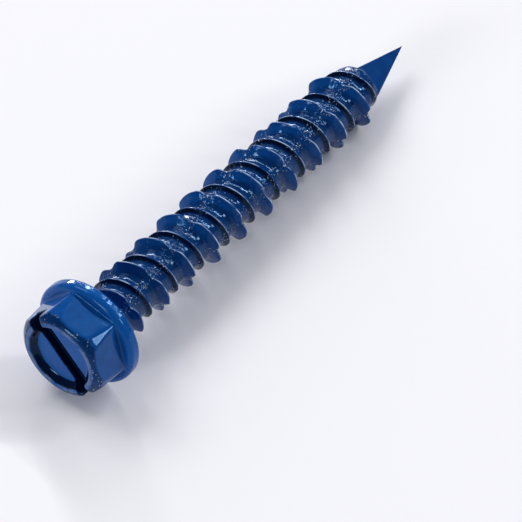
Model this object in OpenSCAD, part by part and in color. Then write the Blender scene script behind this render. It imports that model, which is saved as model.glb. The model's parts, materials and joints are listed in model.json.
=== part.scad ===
// Coated concrete screw: slotted hex washer head, plain neck, notched high thread with a low thread
// between its turns, and a four-sided nail point. It is formed as one piece of steel.
// It lies as it comes to rest, on the rim of its flange and on a notch of its thread near the point,
// with the point towards +X.

/* [Head] */
// Width of the hexagon across its flats
across_flats = 7.94; // [7.2:0.01:8.3]
// Height of the head above the underside of its flange
head_h = 4.6; // [4.2:0.05:6]
// Height at which the hexagon's corners are full
corner_h = 3; // [1.6:0.05:3.4]
// Amount cut off each corner of the hexagon
corner_trim = 0.04; // [0.02:0.01:0.2]
// Diameter of the round rim at the top of the head
rim_d = 7; // [6.4:0.05:7.6]
// Width of the flat top of the rim
rim_w = 0.3; // [0.1:0.02:0.5]
// Radius of the rim's rounded outer edge
rim_round = 0.06; // [0.04:0.02:0.3]
// Depth of the dish inside the rim
dish_depth = 0.65; // [0.2:0.05:1]
// Diameter of the floor of the dish
dish_floor_d = 5.4; // [3:0.1:5.6]
// Width of the driver slot
slot_w = 1.35; // [1:0.05:2]
// Depth of the driver slot below the rim
slot_depth = 1.4; // [1.1:0.05:2]

/* [Flange] */
// Diameter of the flange
flange_d = 10; // [9.8:0.05:12]
// Thickness of the flange
flange_t = 1.1; // [0.9:0.05:1.4]
// Radius of the flange's rounded upper edge
flange_top_round = 0.45; // [0.2:0.05:0.6]
// Radius of the flange's rounded lower edge
flange_under_round = 0.12; // [0.05:0.01:0.2]

/* [Shank] */
// Length from the underside of the flange to the tip
length = 44.7; // [32:0.1:64]
// Diameter of the core between the threads
core_d = 4.2; // [3.8:0.02:4.5]
// Diameter of the plain neck under the flange
neck_d = 4.8; // [4.6:0.02:5.6]
// Length of the plain neck
neck_len = 1.4; // [1.2:0.1:6]
// Radius of the fillet between the neck and the flange
neck_fillet = 0.3; // [0.1:0.05:0.6]
// Chamfer at the thread end of the neck
neck_chamfer = 0.1; // [0.02:0.02:0.2]

/* [Thread] */
// Outer diameter of the high thread
thread_d = 6.14; // [5.6:0.02:7]
// Outer diameter of the low thread
low_thread_d = 5.08; // [4.7:0.02:5.4]
// Lead of both threads
lead = 3.64; // [3.2:0.01:4.4]
// Width of the high thread at the core
high_base_w = 1.1; // [0.7:0.02:1.4]
// Width of the low thread at the core
low_base_w = 0.8; // [0.5:0.02:1]
// Width of the high thread's crest
high_crest_w = 0.16; // [0.06:0.02:0.3]
// Width of the low thread's crest
low_crest_w = 0.2; // [0.06:0.02:0.3]
// Length over which the threads rise out of the neck
run_in = 1; // [0.6:0.1:3]
// Length over which the threads rise out of the point's shoulder
run_out = 0.9; // [0.6:0.1:4]

/* [Notches] */
// Angle along the helix from one notch of the high thread to the next
notch_pitch = 86.5; // [60:0.5:120]
// Angle that a notch takes up
notch_arc = 42; // [24:1:58]
// Depth of a notch below the crest
notch_depth = 0.45; // [0.1:0.05:0.8]
// Angle along the helix from the thread's start at the point to the first notch
notch_start = 35; // [0:0.5:120]

/* [Point] */
// Length of the four-sided point
point_len = 6.55; // [4:0.05:8]
// Width of the point across its flats, at its base
point_w = 3; // [2.4:0.02:3.2]
// Length of the shoulder between the point and the core
shoulder_len = 0.2; // [0.1:0.05:1]

/* [Turn] */
// Turn of a hexagon corner from the side that faces up at rest
head_turn = 16.4; // [0:0.1:60]
// Turn of a corner of the point from the side that faces up at rest
point_turn = 3; // [0:0.1:90]
// Turn of the high thread's start at the point from the side that faces up at rest
thread_turn = 57.7; // [0:0.1:360]

/* [Hidden] */

hex_sides = 6;
half_side_a = 180 / hex_sides;
flat_r = across_flats / 2;
full_corner_r = flat_r / cos(half_side_a);
corner_r = full_corner_r - corner_trim;
rim_r = rim_d / 2;
flange_r = flange_d / 2;
core_r = core_d / 2;
neck_r = neck_d / 2;
high_r = thread_d / 2;
low_r = low_thread_d / 2;
arc_steps = 6;
round_steps = 70;
// Half a step, so that a facet of the flange lies flat on the floor
facet_turn = 180 / round_steps;

// The rim's shoulder is an arc that stands upright where the corners are full
shoulder_dr = corner_r - rim_r;
shoulder_dh = head_h - rim_round - corner_h;
shoulder_arc_r = (shoulder_dr * shoulder_dr + shoulder_dh * shoulder_dh) / (2 * shoulder_dr);
shoulder_arc_a = asin(shoulder_dh / shoulder_arc_r);

// Columns of the threaded surface round the axis, a multiple of four so that the point's corners are columns
columns = 40;
step = 360 / columns;
// Heights along the axis, with the underside of the flange at zero and the tip at the bottom
point_z = point_len - length;
core_end_z = point_z + shoulder_len;
core_top_z = -neck_len / 2;
end_gap = 0.04;

// One turn of the thread along the axis: distance from the high crest, then the radius of the full form
turn_form = [
    [-high_base_w / 2, core_r],
    [-high_crest_w / 2, high_r],
    [high_crest_w / 2, high_r],
    [high_base_w / 2, core_r],
    [lead / 2 - low_base_w / 2, core_r],
    [lead / 2 - low_crest_w / 2, low_r],
    [lead / 2 + low_crest_w / 2, low_r],
    [lead / 2 + low_base_w / 2, core_r]
];
form_n = len(turn_form);
most_rows = form_n * (2 + ceil((core_top_z - core_end_z) / lead));

function clamp01(v) = min(1, max(0, v));
function ease(v) = (1 - cos(180 * clamp01(v))) / 2;
function arc(cr, cz, r, from, to) = [
    for (i = [0 : arc_steps])
        let (a = from + (to - from) * i / arc_steps) [cr + r * cos(a), cz + r * sin(a)]
];

// Depth of the notches, by the angle along the helix from the nearest notch's middle
function notch_offset(helix_a) =
    let (a = helix_a - notch_start) abs(a - notch_pitch * round(a / notch_pitch));
function notch(helix_a) =
    let (d = notch_offset(helix_a)) d < notch_arc / 2 ? notch_depth * (1 + cos(360 * d / notch_arc)) / 2 : 0;

// Share of the full height: the threads rise out of the point's shoulder and fall to nothing at the neck
function thread_share(z) = ease((z - core_end_z) / run_out) * ease((-neck_len - z) / run_in);

// The threaded surface is a grid of columns and of rows that climb round the shank with the helix
function column_a(i) = point_turn + step * i;
function helix_a(i, row) = column_a(i) - thread_turn + 360 * (floor(row / form_n) - 1);
function row_z(i, row) = core_end_z + lead * helix_a(i, row) / 360 + turn_form[row % form_n][0];
function row_r(i, row) =
    let (
        cut = row % form_n < form_n / 2 ? notch(helix_a(i, row)) : 0,
        full_h = turn_form[row % form_n][1] - core_r
    )
    core_r + max(0, full_h - cut) * thread_share(row_z(i, row));
function on_ring(i, r, z) = [r * cos(column_a(i)), r * sin(column_a(i)), z];
function square_r(i) = point_w / 2 / cos((step * i) % 90 - 45);

// Rows that fit in each column between the shoulder and the neck, and the number of its first point
column_rows = [
    for (i = [0 : columns - 1]) [
        for (row = [0 : most_rows])
            if (row_z(i, row) > core_end_z + end_gap && row_z(i, row) < core_top_z - end_gap) row
    ]
];
function first_row(i) = column_rows[i][0];
function last_row(i) = column_rows[i][len(column_rows[i]) - 1];
column_start = [for (i = 0, n = 0; i < columns; n = n + len(column_rows[i]), i = i + 1) n];
function at(i, row) = column_start[i] + row - first_row(i);

last_col = columns - 1;
end_ring = column_start[last_col] + len(column_rows[last_col]);
top_ring = end_ring + columns;
base_ring = top_ring + columns;
tip = base_ring + columns;

shank_points = concat(
    [for (i = [0 : last_col], row = column_rows[i]) on_ring(i, row_r(i, row), row_z(i, row))],
    [for (i = [0 : last_col]) on_ring(i, core_r, core_end_z)],
    [for (i = [0 : last_col]) on_ring(i, core_r, core_top_z)],
    [for (i = [0 : last_col]) on_ring(i, square_r(i), point_z)],
    [[0, 0, -length]]
);

function quad(a, b, c, d) = [[a, c, b], [a, d, c]];
function next_col(i) = (i + 1) % columns;
// Past the last column the rows meet the first column one turn further up
function next_row(i, row) = i == last_col ? row - form_n : row;
function row_on(i, row) = i == last_col ? row + form_n : row;

// Faces between a column and the next: the rows they share, then the rows that only one of them has
function strip(i) =
    let (
        n = next_col(i),
        low = max(first_row(i), next_row(i, first_row(n))),
        high = min(last_row(i), next_row(i, last_row(n)))
    )
    concat(
        [
            for (row = [low : 1 : high - 1])
                each quad(at(i, row), at(n, row_on(i, row)), at(n, row_on(i, row + 1)), at(i, row + 1))
        ],
        quad(end_ring + i, end_ring + n, at(n, first_row(n)), at(i, first_row(i))),
        [
            for (row = [next_row(i, first_row(n)) : 1 : low - 1])
                [at(i, low), at(n, row_on(i, row + 1)), at(n, row_on(i, row))]
        ],
        quad(at(i, last_row(i)), at(n, last_row(n)), top_ring + n, top_ring + i),
        [
            for (row = [high : 1 : last_row(i) - 1])
                [at(n, row_on(i, high)), at(i, row), at(i, row + 1)]
        ],
        quad(base_ring + i, base_ring + n, end_ring + n, end_ring + i),
        [[tip, base_ring + i, base_ring + n]]
    );
shank_faces = concat(
    [for (i = [0 : last_col]) each strip(i)],
    [[for (i = [0 : last_col]) top_ring + last_col - i]]
);

// The screw rests on the flange's rim, and tips until the first point of the thread meets the floor
rim_z = flange_under_round;
rest_tilt = min([for (p = shank_points) if (p.z < -neck_len) atan((flange_r + p.x) / (rim_z - p.z))]);
rest_lift = flange_r * cos(rest_tilt) - rim_z * sin(rest_tilt);
rest_x = (head_h * cos(rest_tilt) + (rim_r - rim_round) * sin(rest_tilt) - length * cos(rest_tilt)) / 2;

module head_form() {
    dish_z = head_h - dish_depth;
    arc_cr = corner_r - shoulder_arc_r;
    rotate_extrude($fn = round_steps)
        polygon(concat(
            [[0, 0], [corner_r, 0]],
            arc(arc_cr, corner_h, shoulder_arc_r, 0, shoulder_arc_a),
            [
                [rim_r - rim_round, head_h],
                [rim_r - rim_round - rim_w, head_h],
                [dish_floor_d / 2, dish_z],
                [0, dish_z]
            ]
        ));
}

module hexagon_prism() {
    cylinder(h = head_h, r = full_corner_r, $fn = hex_sides);
}

module driver_slot() {
    slot_len = 2 * flange_r;
    translate([-slot_len / 2, -slot_w / 2, head_h - slot_depth])
        cube([slot_len, slot_w, head_h]);
}

module hex_head() {
    rotate([0, 0, head_turn])
        difference() {
            intersection() {
                head_form();
                hexagon_prism();
            }
            rotate([0, 0, half_side_a])
                driver_slot();
        }
}

module flange_and_neck() {
    rotate([0, 0, facet_turn])
        rotate_extrude($fn = round_steps)
            polygon(concat(
                [[0, flange_t]],
                arc(flange_r - flange_top_round, flange_t - flange_top_round, flange_top_round, 90, 0),
                arc(flange_r - flange_under_round, flange_under_round, flange_under_round, 0, -90),
                arc(neck_r + neck_fillet, -neck_fillet, neck_fillet, 90, 180),
                [
                    [neck_r, neck_chamfer - neck_len],
                    [neck_r - neck_chamfer, -neck_len],
                    [0, -neck_len]
                ]
            ));
}

module threaded_shank() {
    polyhedron(
        points = shank_points,
        faces = shank_faces,
        convexity = 10
    );
}

module screw() {
    color("#0b3f86")
        translate([rest_x, 0, rest_lift])
            rotate([0, -90 + rest_tilt, 0]) {
                hex_head();
                flange_and_neck();
                threaded_shank();
            }
}

screw();
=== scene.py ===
"""Looks of the coated concrete screw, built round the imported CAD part.

The head is meshed from distance functions, so that every edge has the small round that the coating gives it.
The shank is a grid that climbs with the helix. Both repeat the CAD dimensions, in millimetres, and stand in
the CAD part's place through its under_head mount.
"""

import json
import math
from types import SimpleNamespace

import bmesh
import bpy
import numpy as np
from mathutils import Matrix, Vector, noise


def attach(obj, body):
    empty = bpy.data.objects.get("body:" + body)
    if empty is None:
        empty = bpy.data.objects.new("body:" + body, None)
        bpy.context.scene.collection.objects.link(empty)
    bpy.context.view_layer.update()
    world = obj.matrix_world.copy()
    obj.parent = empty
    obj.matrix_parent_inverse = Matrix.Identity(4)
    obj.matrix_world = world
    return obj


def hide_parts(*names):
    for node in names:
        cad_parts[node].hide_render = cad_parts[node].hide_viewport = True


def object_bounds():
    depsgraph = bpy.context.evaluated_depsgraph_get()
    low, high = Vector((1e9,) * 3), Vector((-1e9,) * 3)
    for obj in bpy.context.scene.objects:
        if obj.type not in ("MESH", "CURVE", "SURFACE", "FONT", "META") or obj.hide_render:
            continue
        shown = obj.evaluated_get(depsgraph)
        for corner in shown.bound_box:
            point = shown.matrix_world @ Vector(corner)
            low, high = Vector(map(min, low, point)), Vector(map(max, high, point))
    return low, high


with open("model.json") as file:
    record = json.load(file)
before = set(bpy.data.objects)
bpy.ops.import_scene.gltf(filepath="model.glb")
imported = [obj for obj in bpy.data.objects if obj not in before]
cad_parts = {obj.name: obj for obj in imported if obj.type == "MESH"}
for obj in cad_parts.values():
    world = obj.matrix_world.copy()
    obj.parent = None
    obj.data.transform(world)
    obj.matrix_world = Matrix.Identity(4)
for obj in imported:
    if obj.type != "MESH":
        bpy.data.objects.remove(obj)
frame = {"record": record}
cad_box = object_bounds()

MM = 0.001
UP = Vector((0, 0, 1))
ACROSS = Vector((0, 1, 0))
SIXTH = math.pi / 3

# Head and flange, as in the CAD source
ACROSS_FLATS = 7.94
HEAD_H = 4.6
CORNER_H = 3.0
CORNER_TRIM = 0.04
RIM_D = 7.0
RIM_W = 0.36
DISH_DEPTH = 0.65
DISH_FLOOR_D = 5.4
SLOT_W = 1.35
SLOT_DEPTH = 1.4
FLANGE_D = 10.0
FLANGE_T = 1.1
FLANGE_TOP_ROUND = 0.45
FLANGE_UNDER_ROUND = 0.12
NECK_D = 4.8
NECK_LEN = 1.4
HEAD_TURN = math.radians(16.4)

# Shank, as in the CAD source, with its angles in degrees
LENGTH = 44.7
CORE_R = 2.1
HIGH_R = 3.07
LOW_R = 2.54
LEAD = 3.64
HIGH_BASE_W = 1.1
LOW_BASE_W = 0.8
RUN_IN = 1.0
RUN_OUT = 0.9
NOTCH_PITCH = 86.5
NOTCH_ARC = 42.0
NOTCH_DEPTH = 0.45
NOTCH_START = 35.0
POINT_LEN = 6.55
POINT_W = 3.0
SHOULDER_LEN = 0.2
POINT_TURN = 3.0
THREAD_TURN = 57.7

# Rounds that the coating leaves on the head's edges
FLAT_ROUND = 0.1
RIM_ROUND = 0.14
SLOT_ROUND = 0.1
DISH_FILLET = 0.3
BASE_FILLET = 0.16
NECK_FILLET = 0.4
NECK_ROUND = 0.1
# Slope by which the hexagon's corners are worn away towards the rim
CORNER_SLOPE = 0.1

# One flank of a thread from its crest to the core: share of the half width, then share of the height
HIGH_FLANK = [
    (0, 1), (0.08, 0.995), (0.14, 0.97), (0.2, 0.91),
    (0.5, 0.5), (0.8, 0.1), (0.88, 0.025), (1, 0), (1.2, 0),
]
LOW_FLANK = [
    (0, 1), (0.1, 0.99), (0.18, 0.95), (0.26, 0.87),
    (0.5, 0.53), (0.85, 0.06), (0.92, 0.02), (1, 0), (1.25, 0),
]
# The step from the round core to the square point: share of its length, then how square it is there
SHOULDER_FORM = [(0, 0), (0.3, 0.12), (0.7, 0.75), (1, 1)]

# Mesh density
CELL = 0.098
HEAD_MARGIN = 0.2
COLUMNS = 144
VALLEY_ROWS = 2
SPARE_TURNS = 2
POINT_RINGS = 14
MERGE_MM = 0.001
# How the head's points are drawn onto its surface: passes, share of a cell over which the slope is taken, and
# the least slope
SNAP_PASSES = 3
SLOPE_REACH = 0.05
LEAST_SLOPE_SQUARED = 0.2

# The uneven coat on the thread: the fill in the valleys' corners, then waves drawn out along the thread, then
# lumps in the notches. Heights are in millimetres, and waves in a millimetre.
VALLEY_FILL = 0.03
WAVE_H = 0.03
WAVES_ACROSS = 1.3
WAVES_ALONG = 0.5
WAVE_SCALES = (1.0, 2.1)
WAVE_WEIGHTS = (0.7, 0.3)
LUMP_H = 0.08
LUMP_SCALES = (2.2, 5.0)
LUMP_WEIGHTS = (0.6, 0.4)
# Length over which the coat evens out at both ends of the thread
EVEN_LEN = 0.3

# Vertex attributes of the coat: tone with painted shade and light, lumpiness, and crests and rim with a
# painted highlight
COAT = ("tone_and_shade", "lumpy", "crest")
# Share of each thread's half width that counts as its crest
HIGH_CREST = 0.2
LOW_CREST = 0.25
# Tone of the coat, from its lightest at nothing to near black at one, with painted shade. It is darker low in
# the valleys and on the high thread, lighter with height. On the low thread it is near black, and lightens
# down the flank, from a share of the half width and over a further share.
VALLEY_SHADE = 0.45
VALLEY_SHADE_FADE = 0.2
HIGH_SHADE = 0.22
HIGH_SHADE_FADE = 0.1
LOW_SHADE = 0.95
LOW_SHADE_FADE = 0.5
LOW_FADE_FROM = 0.5
LOW_FADE_OVER = 0.35
# Tone on the point and the head. Painted light: lightest on the flange's top and the dish's floor. Painted
# shade: near black on the dish's wall and in the slot. Darker on the shoulder.
POINT_TONE = 0.3
HEAD_TONE = 0.15
FACE_PAINTED_LIGHT = 0.02
WALL_SHADE = 0.95
SLOT_SHADE = 1.0
SHOULDER_DARK = 0.55
# Lumpiness of the coat
VALLEY_LUMPY = 0.4
HIGH_LUMPY = 0.15
NOTCH_LUMPY = 1.7
POINT_LUMPY = 0.05
HEAD_LUMPY = 0.05
FLANGE_LUMPY = 0.15
SHOULDER_LUMPY = 0.8
# Painted highlight on thin edges: level on a crest and how fast it falls beside it, share that a notch takes
# away, and level on the head's rim
CREST_HIGHLIGHT = 1.2
CREST_HIGHLIGHT_FALL = 2.0
NOTCH_TAKES = 0.8
RIM_HIGHLIGHT = 0.12
# How far the head's areas of coat reach past the forms that they lie on, or stop short of them
FLANGE_FROM_FLATS = 0.4
FLANGE_REACH = 0.1
DISH_REACH = 0.05
WALL_REACH = 0.02
SLOT_SIDE_REACH = 0.03
SLOT_TOP_GAP = 0.12
SLOT_FLOOR_REACH = 0.2
RIM_REACH = 0.05
RIM_DEPTH = 0.06
# The coat's grain runs along the thread: waves in a millimetre across it, along it, and on the head
GRAIN_ACROSS = 5.0
GRAIN_ALONG = 0.4
GRAIN_HEAD = 4.0

# Colour of the coat at a few levels of tone and painted shade, and the pale colour of its painted glints and
# highlights
COAT_COLOURS = [
    (0.2, (0.0035, 0.076, 0.31)),
    (0.42, (0.003, 0.052, 0.22)),
    (0.7, (0.002, 0.026, 0.11)),
    (1.0, (0.0006, 0.006, 0.028)),
]
PAINTED_HIGHLIGHT_COLOUR = (0.6, 0.74, 0.96)
# The material's noises: waves in a metre, detail and roughness. The streaks have waves in the grain's units.
CLOUD_NOISE = (900, 3, 0.5)
LUMP_NOISE = (2600, 2, 0.6)
GLINT_SPECK_NOISE = (5200, 1, 0.5)
GLOSS_NOISE = (2500, 2, 0.5)
STREAK_NOISE = (1, 2, 0.5)
# What the noises turn into: a position in the noise, then the level there
GLINT_SPECK_LEVELS = [(0.71, 0), (0.76, 0.5)]
CREST_HIGHLIGHT_LEVELS = [(0.38, 0), (0.58, 1)]
GLOSS_LEVELS = [(0.3, 0.05), (0.75, 0.11)]
# Depth of the clouds in the tone, gain of the specks of painted glint where it is lumpy, and the bump's
# height in metres with the shares of the lumps and the streaks
CLOUD_DEPTH = 0.35
GLINT_SPECK_GAIN = 0.036
BUMP_H = 0.0001
LUMP_BUMP = 0.6
STREAK_BUMP = 0.1
SPECULAR_LEVEL = 0.24
SPECULAR_TINT = (0.2, 0.55, 1.0)
COAT_WEIGHT = 0.07
COAT_ROUGHNESS = 0.05

# Camera fitted to the photo: the frame is 522 pixels square, and the pixel is where the middle of the
# flange's underside lies
FRAME_PX = 522
FOCAL_PX = 5352.2
UNDER_HEAD_PX = (92.5, 328.0)
CAMERA_DISTANCE = 0.44955
VIEW_HEADING = math.radians(36.754)
VIEW_ELEVATION = math.radians(47.76)
SENSOR_MM = 36
CLIP_START = 0.01

# Floor and world
FLOOR_HALF = 1.5
FLOOR_COLOUR = (0.9, 0.89, 0.91)
FLOOR_ROUGHNESS = 0.8
FLOOR_SPECULAR = 0.1
WORLD_COLOUR = (0.7, 0.76, 1.0)
WORLD_STRENGTH = 0.16

# Lamps: distance, size along the screw's axis and round it, and the level that each gives at the screw, where
# one is white
LAMPS = {
    "key": (1.0, (0.5, 0.5), 0.38),
    "left": (1.4, (0.2, 0.5), 0.34),
    "front_strip": (2.5, (0.07, 1.4), 0.34),
    "top_strip": (2.5, (0.07, 1.4), 0.15),
    "rear_strip": (2.5, (0.07, 2.0), 0.42),
    "corner": (0.7, (0.1, 0.12), 0.17),
}
KEY_DIRECTION = (0.0, 0.62, 0.8)
LEFT_DIRECTION = (-1.0, 0.1, 0.3)
# Angles of the strips round the screw's axis
FRONT_STRIP_TURN = math.radians(121.5)
TOP_STRIP_TURN = math.radians(76.5)
REAR_STRIP_TURN = math.radians(32.2)

# Derived sizes
FULL_CORNER_R = ACROSS_FLATS / 2 / math.cos(SIXTH / 2)
CORNER_R = FULL_CORNER_R - CORNER_TRIM
DISH_Z = HEAD_H - DISH_DEPTH
DISH_TOP_R = RIM_D / 2 - RIM_W
SLOT_Z = HEAD_H - SLOT_DEPTH
HIGH_H = HIGH_R - CORE_R
LOW_H = LOW_R - CORE_R
POINT_Z = POINT_LEN - LENGTH
CORE_END_Z = POINT_Z + SHOULDER_LEN
CORE_TOP_Z = -NECK_LEN / 2
ANGLES = POINT_TURN + 360 / COLUMNS * np.arange(COLUMNS)
COLUMN_COS = np.cos(np.radians(ANGLES))
COLUMN_SIN = np.sin(np.radians(ANGLES))


def smooth_max(a, b, k):
    """The larger of two distances, with a round of about k where they meet."""
    h = np.maximum(k - np.abs(a - b), 0) / k
    return np.maximum(a, b) + h * h * k / 4


def smooth_min(a, b, k):
    """The smaller of two distances, with a fillet of about k where they meet."""
    return -smooth_max(-a, -b, k)


def ease(v):
    """A smooth rise from nothing to one."""
    return (1 - np.cos(np.pi * np.clip(v, 0, 1))) / 2


def turn_with_head(x, y):
    """Coordinates in which a corner of the hexagon lies on the first axis."""
    c = math.cos(HEAD_TURN)
    s = math.sin(HEAD_TURN)
    return x * c + y * s, y * c - x * s


def hexagon(x, y, z):
    """Distance outside the six flats. Each corner is worn to a narrow wedge that widens towards the rim."""
    hx, hy = turn_with_head(x, y)
    corners = SIXTH * np.arange(6)
    flats = corners + SIXTH / 2
    worn_r = CORNER_R - CORNER_SLOPE * np.clip(z - FLANGE_T, 0, None)
    sides = [hx * math.cos(t) + hy * math.sin(t) - ACROSS_FLATS / 2 for t in flats]
    sides += [hx * math.cos(t) + hy * math.sin(t) - worn_r for t in corners]
    d = sides[0]
    for side in sides[1:]:
        d = smooth_max(d, side, FLAT_ROUND)
    return d


def shoulder(r, z):
    """Distance outside the head's turned form: upright up to the full corners, then an arc to the rim."""
    dr = CORNER_R - RIM_D / 2
    dh = HEAD_H - CORNER_H
    arc_r = (dr * dr + dh * dh) / (2 * dr)
    above = np.hypot(np.maximum(r - (CORNER_R - arc_r), 0), z - CORNER_H) - arc_r
    return np.where(z > CORNER_H, above, r - CORNER_R)


def slot_offset(x, y):
    """Distance from the middle of the slot, which runs from flat to flat."""
    hx, hy = turn_with_head(x, y)
    return np.abs(hx * math.sin(SIXTH / 2) - hy * math.cos(SIXTH / 2))


def flange(r, z):
    """Distance outside the flange, with a large round on top and a small one underneath."""
    upper = z > FLANGE_T / 2
    edge = np.where(upper, FLANGE_TOP_ROUND, FLANGE_UNDER_ROUND)
    dr = r - (FLANGE_D / 2 - edge)
    dz = np.where(upper, z - (FLANGE_T - edge), edge - z)
    return np.minimum(np.maximum(dr, dz), 0) + np.hypot(np.maximum(dr, 0), np.maximum(dz, 0)) - edge


def head_distance(p):
    """Distance outside the head, the flange and the neck, at points in the screw's own millimetres."""
    x, y, z = p[..., 0], p[..., 1], p[..., 2]
    r = np.hypot(x, y)
    d = smooth_max(hexagon(x, y, z), shoulder(r, z), FLAT_ROUND)
    d = smooth_max(d, z - HEAD_H, RIM_ROUND)
    wall_slope = (DISH_TOP_R - DISH_FLOOR_D / 2) / DISH_DEPTH
    wall = (r - DISH_TOP_R - (z - HEAD_H) * wall_slope) / math.hypot(1, wall_slope)
    dish = smooth_max(wall, DISH_Z - z, DISH_FILLET)
    d = smooth_max(d, -dish, RIM_ROUND)
    slot = smooth_max(slot_offset(x, y) - SLOT_W / 2, SLOT_Z - z, SLOT_ROUND)
    d = smooth_max(d, -slot, SLOT_ROUND)
    d = np.maximum(d, FLANGE_T / 2 - z)
    d = smooth_min(d, flange(r, z), BASE_FILLET)
    neck = smooth_max(r - NECK_D / 2, -NECK_LEN - z, NECK_ROUND)
    neck = np.maximum(neck, z - FLANGE_T / 2)
    return smooth_min(d, neck, NECK_FILLET)


def surface_of(distance, low, high, cell):
    """Quads on the zero of a distance function: one vertex in each grid cell that the surface crosses."""
    counts = np.ceil((high - low) / cell).astype(int)
    axes = [low[k] + cell * np.arange(counts[k] + 1) for k in range(3)]
    grid = np.stack(np.meshgrid(*axes, indexing="ij"), -1)
    f = distance(grid)
    inside = f < 0
    total = np.zeros(tuple(counts) + (3,))
    hits = np.zeros(tuple(counts))
    crossings = []
    for k in range(3):
        a = [slice(None)] * 3
        b = [slice(None)] * 3
        a[k] = slice(None, -1)
        b[k] = slice(1, None)
        a = tuple(a)
        b = tuple(b)
        crossed = inside[a] != inside[b]
        share = (f[a][crossed] / (f[a][crossed] - f[b][crossed]))[:, None]
        at = grid[a][crossed] + share * cell * np.eye(3)[k]
        around = []
        for du, dv in ((0, 0), (-1, 0), (-1, -1), (0, -1)):
            c = np.argwhere(crossed)
            c[:, (k + 1) % 3] += du
            c[:, (k + 2) % 3] += dv
            np.add.at(total, tuple(c.T), at)
            np.add.at(hits, tuple(c.T), 1)
            around.append(c)
        crossings.append((around, inside[a][crossed]))
    used = hits > 0
    cell_id = np.full(tuple(counts), -1)
    cell_id[used] = np.arange(used.sum())
    quads = []
    for around, starts_inside in crossings:
        ring = np.stack([cell_id[tuple(c.T)] for c in around], -1)
        quads.append(np.where(starts_inside[:, None], ring, ring[:, ::-1]))
    points = total[used] / hits[used][:, None]
    for _ in range(SNAP_PASSES):
        points = points - snap_step(distance, points, cell)
    return points, np.concatenate(quads)


def snap_step(distance, points, cell):
    """The step from each point towards the zero of a distance function, half a cell at most."""
    h = cell * SLOPE_REACH
    slope = [(distance(points + h * e) - distance(points - h * e)) / (2 * h) for e in np.eye(3)]
    slope = np.stack(slope, -1)
    steepness = np.maximum((slope ** 2).sum(-1), LEAST_SLOPE_SQUARED)
    step = distance(points)[:, None] * slope / steepness[:, None]
    return np.clip(step, -cell / 2, cell / 2)


def turn_profile():
    """Rows of one turn: distance from the high crest, height of the full form, and one on the high thread."""
    threads = (
        (0, HIGH_BASE_W / 2, HIGH_H, HIGH_FLANK),
        (LEAD / 2, LOW_BASE_W / 2, LOW_H, LOW_FLANK),
    )
    rows = []
    for centre, half, height, flank in threads:
        for side in (-1, 1):
            for w, h in flank:
                if side < 0 or w > 0:
                    rows.append((centre + side * w * half, height * h, flank is HIGH_FLANK))
    start = HIGH_FLANK[-1][0] * HIGH_BASE_W / 2
    end = LEAD / 2 - LOW_FLANK[-1][0] * LOW_BASE_W / 2
    for k in range(1, VALLEY_ROWS + 1):
        off = start + (end - start) * k / (VALLEY_ROWS + 1)
        rows += [(off, 0, 0), (LEAD - off, 0, 0)]
    return np.array(sorted(rows))


def notch_share(helix):
    """One in the middle of a notch, nothing between the notches."""
    a = helix - NOTCH_START
    off = np.abs(a - NOTCH_PITCH * np.round(a / NOTCH_PITCH))
    return np.where(off < NOTCH_ARC / 2, (1 + np.cos(2 * np.pi * off / NOTCH_ARC)) / 2, 0)


def thread_grid():
    """The thread's grid, with a column for each angle and the rows of every turn.

    Each row has its offset from the high crest, its full height and its thread. Each point has its angle
    along the helix, its height on the screw, its share of the full thread, and its share of the groove that
    runs from the notch of one turn to that of the next.
    """
    profile = turn_profile()
    turns = math.ceil((CORE_TOP_Z - CORE_END_Z) / LEAD) + SPARE_TURNS
    turn = np.repeat(np.arange(turns) - 1, len(profile))
    off, full, high = (np.tile(column, turns) for column in profile.T)
    helix = ANGLES[:, None] - THREAD_TURN + 360 * turn
    z = np.clip(CORE_END_Z + LEAD * helix / 360 + off, CORE_END_Z, CORE_TOP_Z)
    onward = np.clip(off / LEAD, 0, 1)
    return SimpleNamespace(
        per_turn=len(profile),
        off=off,
        full=full,
        high=high > 0,
        helix=helix,
        z=z,
        share=ease((z - CORE_END_Z) / RUN_OUT) * ease((-NECK_LEN - z) / RUN_IN),
        groove=notch_share(helix) * (1 - onward) + notch_share(helix + 360) * onward,
    )


def octaves(at, scales, weights):
    """Noise at a point, as a weighted sum over some scales."""
    return sum(weight * noise.noise(at * scale) for scale, weight in zip(scales, weights))


def thread_radius(grid):
    """Radius of the thread with its coat, which is uneven along it and lies in lumps in the notches."""
    # A notch takes its depth off the crest and thins the flanks below it
    cut = notch_share(grid.helix) * grid.high
    height = np.maximum(grid.full - NOTCH_DEPTH * cut * grid.full / HIGH_H, 0)
    r = CORE_R + height * grid.share
    x = r * COLUMN_COS[:, None]
    y = r * COLUMN_SIN[:, None]
    run = np.radians(grid.helix) * CORE_R
    wave = np.zeros_like(r)
    lump = np.zeros_like(r)
    for i, j in np.ndindex(r.shape):
        unrolled = Vector((grid.off[j] * WAVES_ACROSS, run[i, j] * WAVES_ALONG, 0))
        wave[i, j] = octaves(unrolled, WAVE_SCALES, WAVE_WEIGHTS)
        lump[i, j] = octaves(Vector((x[i, j], y[i, j], grid.z[i, j])), LUMP_SCALES, LUMP_WEIGHTS)
    # The coat fills the corners of the valleys, which are slightly hollow
    from_high = np.abs(grid.off - LEAD * np.round(grid.off / LEAD))
    foot = HIGH_BASE_W / 2
    valley = np.clip((from_high - foot) / ((LEAD - LOW_BASE_W) / 2 - foot), 0, 1)
    peak = np.where(grid.high, HIGH_H, LOW_H)
    fill = VALLEY_FILL * (2 * valley - 1) ** 2 * (1 - grid.full / peak)
    uneven = fill + WAVE_H * wave + LUMP_H * grid.groove * lump
    inner = ease((grid.z - CORE_END_Z) / EVEN_LEN) * ease((-NECK_LEN - grid.z) / EVEN_LEN)
    return np.minimum(r + uneven * inner, HIGH_R)


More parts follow.
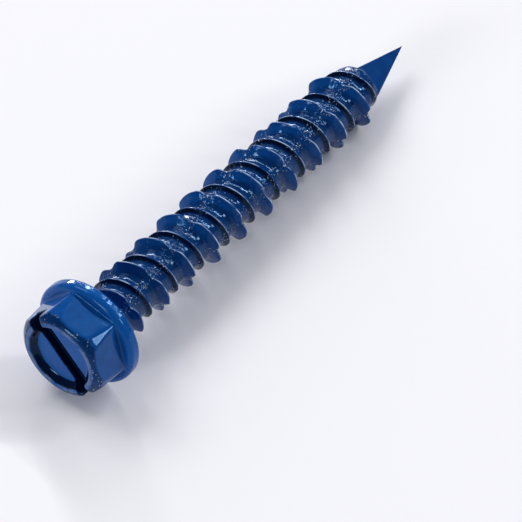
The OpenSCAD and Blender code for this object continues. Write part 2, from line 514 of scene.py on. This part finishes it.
def thread_faces(rows, per_turn):
    """Quads of the grid. The last column joins the first, one turn higher."""
    ids = np.arange(COLUMNS * rows).reshape(COLUMNS, rows)
    seam = np.concatenate([ids[0, per_turn:], np.full(per_turn, -1)])
    onward = np.vstack([ids[1:], seam])
    quads = np.stack([ids[:, :-1], onward[:, :-1], onward[:, 1:], ids[:, 1:]], -1).reshape(-1, 4)
    return quads[(quads >= 0).all(1)].tolist()


def thread_coat(grid, r):
    """Tone with painted shade, lumps, and painted crest highlights: darker in the valleys, near black on the
    low thread's flanks.
    """
    rise = np.clip((r - CORE_R) / HIGH_H, 0, 1)
    side = np.abs(grid.off - np.where(grid.high, 0, LEAD / 2))
    half = np.where(grid.high, HIGH_BASE_W, LOW_BASE_W) / 2
    crest_w = half * np.where(grid.high, HIGH_CREST, LOW_CREST)
    flank = (side > crest_w) & (side < half)
    on_high = flank & grid.high
    on_low = flank & ~grid.high
    low_fade = np.clip((side / half - LOW_FADE_FROM) / LOW_FADE_OVER, 0, 1)
    # Painted shade: darker low in the valleys and on the high thread's flanks, near black on the low thread's
    # flanks
    tone_and_shade = np.where(on_high, HIGH_SHADE - HIGH_SHADE_FADE * rise, VALLEY_SHADE - VALLEY_SHADE_FADE * rise)
    tone_and_shade = np.where(on_low, LOW_SHADE - LOW_SHADE_FADE * low_fade, tone_and_shade)
    lumpy = np.where(on_high, HIGH_LUMPY, VALLEY_LUMPY) + NOTCH_LUMPY * grid.groove
    # Painted highlight along each crest, taken away where a notch crosses
    crest = np.clip(CREST_HIGHLIGHT - CREST_HIGHLIGHT_FALL * side / crest_w, 0, 1)
    return tone_and_shade, lumpy, crest * grid.share * (1 - NOTCH_TAKES * grid.groove)


def square_r(angle):
    """Radius of the point's square section for a half width of one, with its corners on the point's turn."""
    return 1 / np.cos(np.radians((angle - POINT_TURN) % 90) - math.pi / 4)


def nail_point(first_id):
    """Points and faces of the rings from the core's end through the square base, and of the tip."""
    levels = [(CORE_END_Z - SHOULDER_LEN * down, square) for down, square in SHOULDER_FORM]
    levels += [(POINT_Z - POINT_LEN * k / POINT_RINGS, 1) for k in range(1, POINT_RINGS)]
    rings = []
    for level, square in levels:
        taper = POINT_W / 2 * square_r(ANGLES) * (level + LENGTH) / POINT_LEN
        r = CORE_R * (1 - square) + taper * square
        rings.append(np.stack([r * COLUMN_COS, r * COLUMN_SIN, np.full(COLUMNS, level)], -1))
    ids = first_id + np.arange(len(levels) * COLUMNS).reshape(len(levels), COLUMNS)
    onward = np.roll(ids, -1, axis=1)
    quads = np.stack([ids[:-1], ids[1:], onward[1:], onward[:-1]], -1).reshape(-1, 4)
    tip = first_id + ids.size
    tip_faces = [[int(a), tip, int(b)] for a, b in zip(ids[-1], onward[-1])]
    points = np.concatenate(rings + [np.array([(0, 0, -LENGTH)])])
    return points, quads.tolist() + tip_faces


def shank():
    """Points, faces, coat and grain of the thread and the point."""
    grid = thread_grid()
    r = thread_radius(grid)
    thread = np.stack([r * COLUMN_COS[:, None], r * COLUMN_SIN[:, None], grid.z], -1).reshape(-1, 3)
    point, point_faces = nail_point(len(thread))
    faces = thread_faces(len(grid.off), grid.per_turn) + point_faces
    coat = []
    for values, level in zip(thread_coat(grid, r), (POINT_TONE, POINT_LUMPY, 0.0)):
        coat.append(np.concatenate([values.ravel(), np.full(len(point), level)]))
    along = np.radians(grid.helix) * CORE_R * GRAIN_ALONG
    grain = np.stack(np.broadcast_arrays(grid.off * GRAIN_ACROSS, along, 0.0), -1).reshape(-1, 3)
    return np.concatenate([thread, point]), faces, coat, np.concatenate([grain, point * GRAIN_HEAD])


def head_coat(p):
    """Tone, lumps and painted rim highlight on the head: painted shade near black in the slot and on the
    dish's wall.
    """
    x, y, z = p[:, 0], p[:, 1], p[:, 2]
    r = np.hypot(x, y)
    dish_r = DISH_FLOOR_D / 2 - DISH_REACH
    rim_off = np.abs(r - RIM_D / 2 + RIM_W / 2)
    on_flange = (r > ACROSS_FLATS / 2 + FLANGE_FROM_FLATS) & (z < FLANGE_T + FLANGE_REACH)
    on_dish = (r < dish_r) & (z > DISH_Z - DISH_REACH)
    on_wall = (r > dish_r) & (r < DISH_TOP_R + WALL_REACH) & (z > DISH_Z - WALL_REACH)
    in_slot = slot_offset(x, y) < SLOT_W / 2 + SLOT_SIDE_REACH
    in_slot &= (z < HEAD_H - SLOT_TOP_GAP) & (z > SLOT_Z - SLOT_FLOOR_REACH)
    on_shoulder = (shoulder(r, z) > hexagon(x, y, z)) & (z > CORNER_H) & (r > RIM_D / 2) & ~in_slot
    on_rim = (rim_off < RIM_W / 2 + RIM_REACH) & (z > HEAD_H - RIM_DEPTH)
    # Painted light: lightest on the flange's top and the dish's floor. Painted shade: near black on the
    # dish's wall and in the slot. Darker on the shoulder.
    tone_and_shade = np.where(on_flange | on_dish, FACE_PAINTED_LIGHT, HEAD_TONE)
    tone_and_shade[on_wall] = WALL_SHADE
    tone_and_shade[in_slot] = SLOT_SHADE
    tone_and_shade[on_shoulder] = SHOULDER_DARK
    lumpy = np.full(len(p), HEAD_LUMPY)
    lumpy[on_shoulder] = SHOULDER_LUMPY
    lumpy[on_flange] = FLANGE_LUMPY
    # Painted highlight on the rim
    return tone_and_shade, lumpy, np.where(on_rim, RIM_HIGHLIGHT, 0.0)


def screw_frame():
    """The screw's own axes in the CAD frame: Z towards the head, X the side that lies uppermost."""
    mount = next(m for m in frame["record"]["mounts"] if m["name"] == "under_head")
    z = -Vector(mount["axis"]).normalized()
    m = Matrix((ACROSS.cross(z), ACROSS, z)).transposed().to_4x4()
    m.translation = Vector(mount["pos_m"])
    return m


def link(name, data):
    """A new object in the scene."""
    obj = bpy.data.objects.new(name, data)
    bpy.context.scene.collection.objects.link(obj)
    return obj


def make_screw():
    """The whole screw as one mesh, with the coat as vertex attributes."""
    reach = FLANGE_D / 2 + HEAD_MARGIN
    low = np.array((-reach, -reach, -NECK_LEN - HEAD_MARGIN))
    high = np.array((reach, reach, HEAD_H + HEAD_MARGIN))
    head_points, head_quads = surface_of(head_distance, low, high, CELL)
    shank_points, shank_faces, shank_coat, shank_grain = shank()
    points = np.concatenate([head_points, shank_points])
    faces = head_quads.tolist() + [[v + len(head_points) for v in f] for f in shank_faces]
    to_frame = np.array(screw_frame())
    points = points * MM @ to_frame[:3, :3].T + to_frame[:3, 3]
    points[:, 2] = np.clip(points[:, 2], 0, cad_box[1][2])
    mesh = bpy.data.meshes.new("coated_screw")
    mesh.from_pydata(points.tolist(), [], faces)
    for name, *values in zip(COAT, head_coat(head_points), shank_coat):
        mesh.attributes.new(name, "FLOAT", "POINT").data.foreach_set("value", np.concatenate(values))
    grain = np.concatenate([head_points * GRAIN_HEAD, shank_grain])
    mesh.attributes.new("grain", "FLOAT_VECTOR", "POINT").data.foreach_set("vector", grain.ravel())
    obj = link("coated_screw", mesh)
    bm = bmesh.new()
    bm.from_mesh(mesh)
    bmesh.ops.remove_doubles(bm, verts=bm.verts, dist=MERGE_MM * MM)
    bmesh.ops.recalc_face_normals(bm, faces=bm.faces)
    bm.to_mesh(mesh)
    bm.free()
    mesh.shade_smooth()
    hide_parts("screw")
    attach(obj, "root")
    return obj


def coating():
    """Gloss blue coat: slightly cloudy colour with painted shade, fine lumps and streaks, painted glints as
    pale specks, and painted highlights on the edges.
    """
    mat = bpy.data.materials.new("blue_coating")
    mat.use_nodes = True
    nodes = mat.node_tree.nodes
    links = mat.node_tree.links
    bsdf = nodes["Principled BSDF"]
    coords = nodes.new("ShaderNodeTexCoord")

    def noise_tex(scale, detail, rough, vector=coords.outputs["Object"]):
        n = nodes.new("ShaderNodeTexNoise")
        n.inputs["Scale"].default_value = scale
        n.inputs["Detail"].default_value = detail
        n.inputs["Roughness"].default_value = rough
        links.new(vector, n.inputs["Vector"])
        return n.outputs["Fac"]

    def ramp(source, stops):
        r = nodes.new("ShaderNodeValToRGB")
        while len(r.color_ramp.elements) < len(stops):
            r.color_ramp.elements.new(0.5)
        for element, (position, colour) in zip(r.color_ramp.elements, stops):
            element.position = position
            element.color = (*colour, 1)
        links.new(source, r.inputs["Fac"])
        return r.outputs["Color"]

    def grey_ramp(source, stops):
        return ramp(source, [(position, (level, level, level)) for position, level in stops])

    def attribute(name, output="Fac"):
        a = nodes.new("ShaderNodeAttribute")
        a.attribute_name = name
        return a.outputs[output]

    def math_node(kind, *values):
        m = nodes.new("ShaderNodeMath")
        m.operation = kind
        for socket, value in zip(m.inputs, values):
            if isinstance(value, (int, float)):
                socket.default_value = value
            else:
                links.new(value, socket)
        return m.outputs[0]

    tone_and_shade, lumpy, crest = (attribute(name) for name in COAT)
    clouds = noise_tex(*CLOUD_NOISE)
    lumps = noise_tex(*LUMP_NOISE)
    streaks = noise_tex(*STREAK_NOISE, attribute("grain", "Vector"))

    # Tone with painted shade and painted light, clouded at random
    coat = ramp(math_node("MULTIPLY_ADD", clouds, CLOUD_DEPTH, tone_and_shade), COAT_COLOURS)
    # Pale specks of painted glint, more where it is lumpy
    glint_specks = math_node("MULTIPLY_ADD", lumpy, GLINT_SPECK_GAIN, noise_tex(*GLINT_SPECK_NOISE))
    # Painted highlight along the crests and the rim, broken up by the clouds
    crest_highlight = math_node("MULTIPLY", grey_ramp(clouds, CREST_HIGHLIGHT_LEVELS), crest)
    pale = math_node("MULTIPLY_ADD", grey_ramp(glint_specks, GLINT_SPECK_LEVELS), lumpy, crest_highlight)
    mix = nodes.new("ShaderNodeMix")
    mix.data_type = "RGBA"
    links.new(pale, mix.inputs["Factor"])
    links.new(coat, mix.inputs["A"])
    mix.inputs["B"].default_value = (*PAINTED_HIGHLIGHT_COLOUR, 1)
    links.new(mix.outputs["Result"], bsdf.inputs["Base Color"])

    links.new(grey_ramp(noise_tex(*GLOSS_NOISE), GLOSS_LEVELS), bsdf.inputs["Roughness"])
    height = math_node("MULTIPLY", math_node("MULTIPLY", lumps, lumpy), LUMP_BUMP)
    height = math_node("MULTIPLY_ADD", streaks, STREAK_BUMP, height)
    bump = nodes.new("ShaderNodeBump")
    bump.inputs["Strength"].default_value = 1.0
    bump.inputs["Distance"].default_value = BUMP_H
    links.new(math_node("MULTIPLY", height, lumpy), bump.inputs["Height"])
    links.new(bump.outputs["Normal"], bsdf.inputs["Normal"])
    bsdf.inputs["Specular IOR Level"].default_value = SPECULAR_LEVEL
    bsdf.inputs["Specular Tint"].default_value = (*SPECULAR_TINT, 1)
    bsdf.inputs["Coat Weight"].default_value = COAT_WEIGHT
    bsdf.inputs["Coat Roughness"].default_value = COAT_ROUGHNESS
    return mat


def view_axes():
    """The camera's directions: right, up and ahead."""
    level = Vector((math.cos(VIEW_HEADING), math.sin(VIEW_HEADING), 0))
    ahead = level * math.cos(VIEW_ELEVATION) - UP * math.sin(VIEW_ELEVATION)
    right = ahead.cross(UP).normalized()
    return right, right.cross(ahead), ahead


def make_camera():
    """The photo's view: the middle of the flange's underside lies on its pixel."""
    right, up, ahead = view_axes()
    data = bpy.data.cameras.new("camera")
    data.sensor_width = SENSOR_MM
    data.lens = SENSOR_MM * FOCAL_PX / FRAME_PX
    data.clip_start = CLIP_START
    per_px = CAMERA_DISTANCE / FOCAL_PX
    m = Matrix((right, up, -ahead)).transposed().to_4x4()
    m.translation = screw_frame().translation - ahead * CAMERA_DISTANCE
    m.translation -= right * (UNDER_HEAD_PX[0] - FRAME_PX / 2) * per_px
    m.translation += up * (UNDER_HEAD_PX[1] - FRAME_PX / 2) * per_px
    cam = link("camera", data)
    cam.matrix_world = m
    bpy.context.scene.camera = cam


def make_floor():
    """Plain pale floor under the screw."""
    s = FLOOR_HALF
    mesh = bpy.data.meshes.new("floor")
    mesh.from_pydata([(-s, -s, 0), (s, -s, 0), (s, s, 0), (-s, s, 0)], [], [(0, 1, 2, 3)])
    mat = bpy.data.materials.new("pale_floor")
    mat.use_nodes = True
    bsdf = mat.node_tree.nodes["Principled BSDF"]
    bsdf.inputs["Base Color"].default_value = (*FLOOR_COLOUR, 1)
    bsdf.inputs["Roughness"].default_value = FLOOR_ROUGHNESS
    bsdf.inputs["Specular IOR Level"].default_value = FLOOR_SPECULAR
    mesh.materials.append(mat)
    link("floor", mesh)


def softbox(name, direction, distance, size, level):
    """A lamp that faces the screw, with its first side along the screw's axis."""
    data = bpy.data.lights.new(name, "AREA")
    data.shape = "RECTANGLE"
    data.size, data.size_y = size
    data.energy = level * math.pi * math.pi * distance * distance
    d = Vector(direction).normalized()
    around = screw_frame().col[2].xyz.cross(d).normalized()
    m = Matrix((around.cross(d), around, d)).transposed().to_4x4()
    m.translation = d * distance
    link(name, data).matrix_world = m


def strip_direction(turn):
    """Where the shank's valleys mirror a strip to the camera, at an angle round the screw's axis."""
    axis = -screw_frame().col[2].xyz
    along = view_axes()[2].dot(axis)
    outward = ACROSS * math.cos(turn) + axis.cross(ACROSS) * math.sin(turn)
    return axis * along + outward * math.sqrt(1 - along * along)


def corner_direction():
    """Where the worn corner that faces the camera mirrors a lamp to it."""
    corner = HEAD_TURN - SIXTH
    normal = screw_frame().to_3x3() @ Vector((math.cos(corner), math.sin(corner), CORNER_SLOPE))
    return view_axes()[2].reflect(normal)


def make_light():
    """Soft studio light: a pale blue world, a key lamp, a fill at the left, and lamps for the glints."""
    world = bpy.data.worlds.new("studio")
    world.use_nodes = True
    back = world.node_tree.nodes["Background"]
    back.inputs["Color"].default_value = (*WORLD_COLOUR, 1)
    back.inputs["Strength"].default_value = WORLD_STRENGTH
    bpy.context.scene.world = world
    directions = {
        "key": KEY_DIRECTION,
        "left": LEFT_DIRECTION,
        "front_strip": strip_direction(FRONT_STRIP_TURN),
        "top_strip": strip_direction(TOP_STRIP_TURN),
        "rear_strip": strip_direction(REAR_STRIP_TURN),
        "corner": corner_direction(),
    }
    for name, direction in directions.items():
        softbox(name, direction, *LAMPS[name])


screw = make_screw()
screw.data.materials.append(coating())
make_camera()
make_floor()
make_light()
bpy.context.scene.view_settings.view_transform = "Standard"
